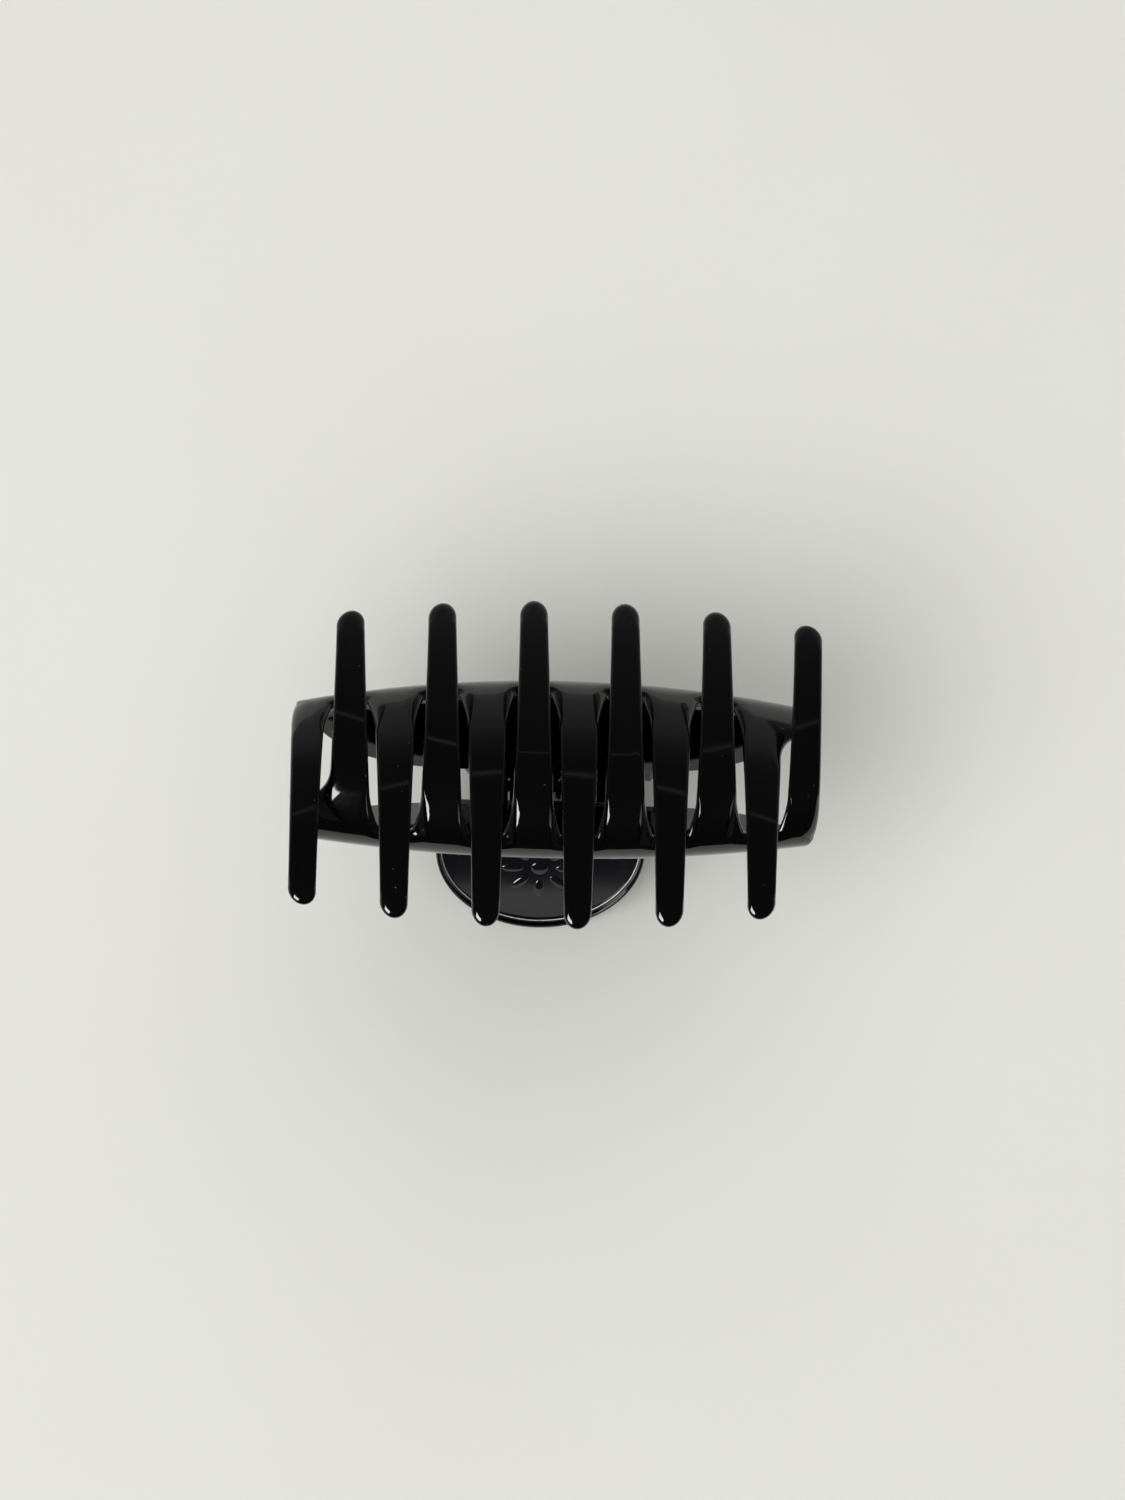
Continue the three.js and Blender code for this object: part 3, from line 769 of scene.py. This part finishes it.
def medallion_skin():
    """The D-shaped inlay with its bright edge, and a rosette of raised petals."""
    skin = Skin()
    top = -MEDALLION_SINK
    face, back = top - 0.05, top - MEDALLION_THICKNESS
    radius, chord = POCKET_RADIUS - 0.03, KNEE_END + 0.03
    bright = 0.28  # the bright edge's width
    # how far in from the outline, the height, and the normal's lean outward and up
    section = (
        (0.0, back, 1, 0),
        (0.0, top - 0.12, 1, 0.2),
        (0.06, top - 0.02, 0.6, 0.8),
        (0.14, top + 0.04, 0.1, 1),
        (bright - 0.05, top + 0.02, -0.5, 0.85),
        (bright, face, -0.9, 0.4),
    )
    rings = [plate_ring(radius - d, chord + d, above, *lean) for d, above, *lean in section]
    skin.rings(rings, slot=1)
    plate_face(skin, radius - bright, chord + bright, face, 1)
    plate_face(skin, radius, chord, back, -1)
    middle = (KNEE_END + HANDLE_CENTRE + POCKET_RADIUS) / 2
    for i in range(PETAL_COUNT):
        turn = 2 * math.pi * i / PETAL_COUNT
        x = HANDLE_SHIFT + MOTIF_RADIUS * math.cos(turn)
        add_dome(skin, x, middle + MOTIF_RADIUS * math.sin(turn), face, turn, *PETAL)
    add_dome(skin, HANDLE_SHIFT, middle, face, 0.0, BOSS_RADIUS, BOSS_RADIUS)
    return skin


def add_dome(skin, x, along, above, turn, a, b):
    """A dome over an ellipse of half axes a and b, turned in the plate's plane."""
    steps, sides = 9, 40
    sunk, apex = 0.1, 1e-4  # its foot's depth in the inlay, and its last ring's radius
    around = np.linspace(0, 2 * math.pi, sides, endpoint=False)
    c, s = math.cos(turn), math.sin(turn)
    rings = []
    for i in range(steps + 1):
        lift = math.radians(90 * i / steps)
        w, h = math.cos(lift) ** 0.6, math.sin(lift)
        px, py = a * w * np.cos(around), b * w * np.sin(around)
        if i == steps:
            px, py = apex * np.cos(around), apex * np.sin(around)
        height = above - sunk + (MOTIF_HEIGHT + sunk) * h
        points = on_handle(x + c * px - s * py, along + s * px + c * py, height)
        nx, ny = np.cos(around) / a * math.cos(lift), np.sin(around) / b * math.cos(lift)
        across, down = c * nx - s * ny, s * nx + c * ny
        upward = math.sin(lift) / MOTIF_HEIGHT + 0.02
        normals = across[:, None] * [1.0, 0.0, 0.0] + down[:, None] * DOWN_SLOPE
        rings.append((points, normals + upward * OFF_SLOPE))
    skin.rings(rings, cap_first=True, cap_last=True)


def tube(path, radius, sides, name, material):
    """A closed tube along a path of points, its ends domed."""
    ahead = unit(np.gradient(path, axis=0))
    side = np.cross(ahead[0], [1.0, 0.0, 0.0])
    frames = []
    for tangent in ahead:
        side = side - tangent * (side @ tangent)
        side /= np.linalg.norm(side)
        frames.append((side, np.cross(tangent, side)))
    around = np.linspace(0, 2 * math.pi, sides, endpoint=False)

    def ring(i, lean):
        """Round the path's point i. A lean backwards or ahead is a place on an end's dome."""
        u, v = frames[i]
        out = (np.cos(around)[:, None] * u + np.sin(around)[:, None] * v) * math.cos(lean)
        normals = out + ahead[i] * math.sin(lean)
        return path[i] + normals * radius, normals

    dome = [math.radians(a) for a in (85, 65, 45, 25)]
    rings = [ring(0, -lean) for lean in dome]
    rings += [ring(i, 0.0) for i in range(len(path))]
    rings += [ring(-1, lean) for lean in reversed(dome)]
    skin = Skin()
    skin.rings(rings, cap_first=True, cap_last=True)
    return skin.make(name, [material])


def spring():
    """A leg along the front handle, the coil round the pin, and a leg along the rear handle."""
    start = -(math.pi / 2 - HANDLE_SLOPE)
    turn = math.pi - 2 * start + SPRING_FULL_TURNS * 2 * math.pi
    coil_length = math.hypot(turn * SPRING_RADIUS, 2 * SPRING_HALF_LENGTH)
    travelled = np.linspace(-SPRING_LEG, coil_length + SPRING_LEG, 620)
    share = np.clip(travelled / coil_length, 0, 1)
    angle = start + turn * share
    past = travelled - share * coil_length  # along a leg: negative on the first one
    x = SPRING_HALF_LENGTH * (2 * share - 1)
    y = SPRING_RADIUS * np.cos(angle) - past * np.sin(angle)
    z = HINGE_HEIGHT + SPRING_RADIUS * np.sin(angle) + past * np.cos(angle)
    return tube(np.column_stack([x, y, z]), WIRE_RADIUS, 14, "spring_coil", STEEL)


def pin():
    """Headed at both ends: a lathed outline turned about the hinge."""
    inner = LUGS[0][1] + PIN_PLAY
    outer = inner + PIN_HEAD_LENGTH
    r, edge = PIN_HEAD_RADIUS, 0.35
    # radius, x, and the normal's lean outward and along X
    half = [(PIN_RADIUS, 0.0, 1, 0), (PIN_RADIUS, inner, 1, 0), (PIN_RADIUS, inner, 0, -1)]
    half += [(r - 0.1, inner, 0, -1), (r, inner + 0.1, 1, 0), (r, outer - edge, 1, 0)]
    for t in (30, 60, 90):
        c, s = math.cos(math.radians(t)), math.sin(math.radians(t))
        half.append((r - edge + edge * c, outer - edge + edge * s, c, s))
    half += [(r * 0.45, outer + 0.05, 0.15, 1), (0.02, outer + 0.08, 0, 1)]
    outline = [(a, -b, c, -d) for a, b, c, d in reversed(half[1:])] + half
    sides = 48
    turns = np.linspace(0, 2 * math.pi, sides, endpoint=False)
    y, z = np.cos(turns), np.sin(turns)
    rings = []
    for radius, x, out, along in outline:
        points = np.column_stack([np.full(sides, x), radius * y, HINGE_HEIGHT + radius * z])
        rings.append((points, np.column_stack([np.full(sides, along), out * y, out * z])))
    skin = Skin()
    skin.rings(rings, cap_first=True, cap_last=True)
    return skin.make("pin", [STEEL])


def place(piece, body, node, slot):
    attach(piece, body)
    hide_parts(node)


jaw = jaw_skin()
medallion = medallion_skin()
place(jaw.make("rear_shell", [PLASTIC]), "rear_half", "rear_jaw", "black_plastic")
place(jaw.make("front_shell", [PLASTIC], turned=True), "front_half", "front_jaw", "black_plastic")
place(medallion.make("rear_inlay", [ENAMEL, EDGE]), "rear_half", "rear_medallion", "black_enamel")
place(
    medallion.make("front_inlay", [ENAMEL, EDGE], turned=True),
    "front_half",
    "front_medallion",
    "black_enamel",
)
place(pin(), "front_half", "hinge_pin", "black_steel")
coil = spring()
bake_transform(coil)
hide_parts("torsion_spring")

# ---- floor, light and camera -------------------------------------------------------------------


def floor():
    """A pale sheet that the clip stands on. It ends not far in front of the clip."""
    n = Nodes("pale_floor")
    tint = n.ramp(n.noise(9.0, 3.0), [(0.3, (0.790, 0.790, 0.735)), (0.7, (0.805, 0.805, 0.755))])
    n.feed(tint, "Base Color")
    n.feed(n.ramp(n.noise(30.0, 4.0), [(0.3, 0.55), (0.7, 0.65)]), "Roughness")
    n.shader.inputs["Specular IOR Level"].default_value = 0.2
    mesh = bpy.data.meshes.new("floor")
    x0, x1, y0, y1 = -1.2, 1.2, -0.143, 1.6
    mesh.from_pydata([(x0, y0, 0), (x1, y0, 0), (x1, y1, 0), (x0, y1, 0)], [], [(0, 1, 2, 3)])
    mesh.materials.append(n.material)
    sheet = bpy.data.objects.new("floor", mesh)
    bpy.context.scene.collection.objects.link(sheet)


def area_light(name, towards, distance, width, height, radiance, glints=True, lights=True):
    """A softbox of even radiance, seen from the clip in the direction towards.

    Without glints it doesn't show in the gloss, and without lights it shows only there.
    """
    light = bpy.data.lights.new(name, "AREA")
    light.shape = "RECTANGLE"
    light.size, light.size_y = width, height
    light.energy = radiance * math.pi * width * height
    box = bpy.data.objects.new(name, light)
    box.visible_glossy = glints
    box.visible_diffuse = lights
    target = Vector((0, 0, HINGE_HEIGHT * MM))
    direction = Vector(towards).normalized()
    turn = direction.to_track_quat("Z", "Y").to_matrix()
    box.matrix_world = Matrix.Translation(target + direction * distance) @ turn.to_4x4()
    bpy.context.scene.collection.objects.link(box)


def world():
    """Dim room: pale behind the clip, dark in front of it and overhead."""
    w = bpy.data.worlds.new("room")
    w.use_nodes = True
    bpy.context.scene.world = w
    tree = w.node_tree
    coords = tree.nodes.new("ShaderNodeTexCoord")
    split = tree.nodes.new("ShaderNodeSeparateXYZ")
    tree.links.new(coords.outputs["Generated"], split.inputs[0])

    def ramp(source, stops, low, high):
        """Grey values at (place, value) stops along a direction's coordinate."""
        fit = tree.nodes.new("ShaderNodeMapRange")
        fit.inputs["From Min"].default_value, fit.inputs["From Max"].default_value = low, high
        tree.links.new(source, fit.inputs["Value"])
        node = tree.nodes.new("ShaderNodeValToRGB")
        tree.links.new(fit.outputs[0], node.inputs["Fac"])
        elements = node.color_ramp.elements
        while len(elements) < len(stops):
            elements.new(0.5)
        for element, (place_at, value) in zip(elements, stops):
            element.position = (place_at - low) / (high - low)
            element.color = (value, value, value, 1)
        return node.outputs["Color"]

    back = [(-0.3, 0.42), (0.0, 0.42), (0.15, 0.34), (0.45, 0.29), (0.62, 0.23)]
    back += [(0.78, 0.12), (0.93, 0.065), (1.0, 0.04)]
    front = [(-0.3, 0.032), (0.1, 0.032), (0.5, 0.055), (1.0, 0.04)]
    back_glow = ramp(split.outputs["Z"], back, -0.3, 1.0)
    front_glow = ramp(split.outputs["Z"], front, -0.3, 1.0)
    side = ramp(split.outputs["Y"], [(-0.15, 0.0), (0.35, 1.0)], -1.0, 1.0)
    mix = tree.nodes.new("ShaderNodeMix")
    mix.data_type = "RGBA"
    tree.links.new(side, mix.inputs[0])
    tree.links.new(front_glow, mix.inputs[6])
    tree.links.new(back_glow, mix.inputs[7])
    tree.links.new(mix.outputs[2], tree.nodes["Background"].inputs["Color"])


def camera():
    """Far away and nearly overhead, leaning a little to the front and the left."""
    azimuth, elevation, roll = math.radians(-8.116), math.radians(80.638), math.radians(9.109)
    distance = 2.0
    right_of_hinge, above_hinge = 0.00205, 0.0073
    level = math.cos(elevation)
    back = Vector((math.sin(azimuth) * level, -math.cos(azimuth) * level, math.sin(elevation)))
    right = Vector((math.cos(azimuth), math.sin(azimuth), 0))
    up = back.cross(right)
    c, s = math.cos(roll), math.sin(roll)
    right, up = right * c + up * s, up * c - right * s
    data = bpy.data.cameras.new("camera")
    data.lens = 242.28
    data.sensor_width = 36
    data.clip_start, data.clip_end = 0.1, 20
    cam = bpy.data.objects.new("camera", data)
    at = Vector((0, 0, HINGE_HEIGHT * MM)) + back * distance
    at = at + right * right_of_hinge + up * above_hinge
    turn = Matrix((right, up, back)).transposed()
    cam.matrix_world = Matrix.Translation(at) @ turn.to_4x4()
    bpy.context.scene.collection.objects.link(cam)
    bpy.context.scene.camera = cam


floor()
world()
# the window, its pane and the rail only make glints; the fills only light
area_light("window", (-0.58, -0.7, 0.42), 2.2, 0.88, 1.0, 17.0, lights=False)
area_light("pane", (-0.4, -0.8, 0.41), 2.2, 0.1, 0.3, 17.0, lights=False)
area_light("key_fill", (-0.42, -0.36, 0.83), 3.0, 2.4, 2.4, 3.05, glints=False)
area_light("ceiling_fill", (-0.1, -0.3, 1.0), 3.0, 5.0, 5.0, 0.66, glints=False)
area_light("back_fill", (0.1, 1.0, 0.8), 3.0, 3.0, 3.0, 1.0, glints=False)
area_light("rail", (0.02, 0.13, 0.99), 3.0, 4.0, 0.04, 0.3, lights=False)
camera()
bpy.context.scene.view_settings.view_transform = "Standard"
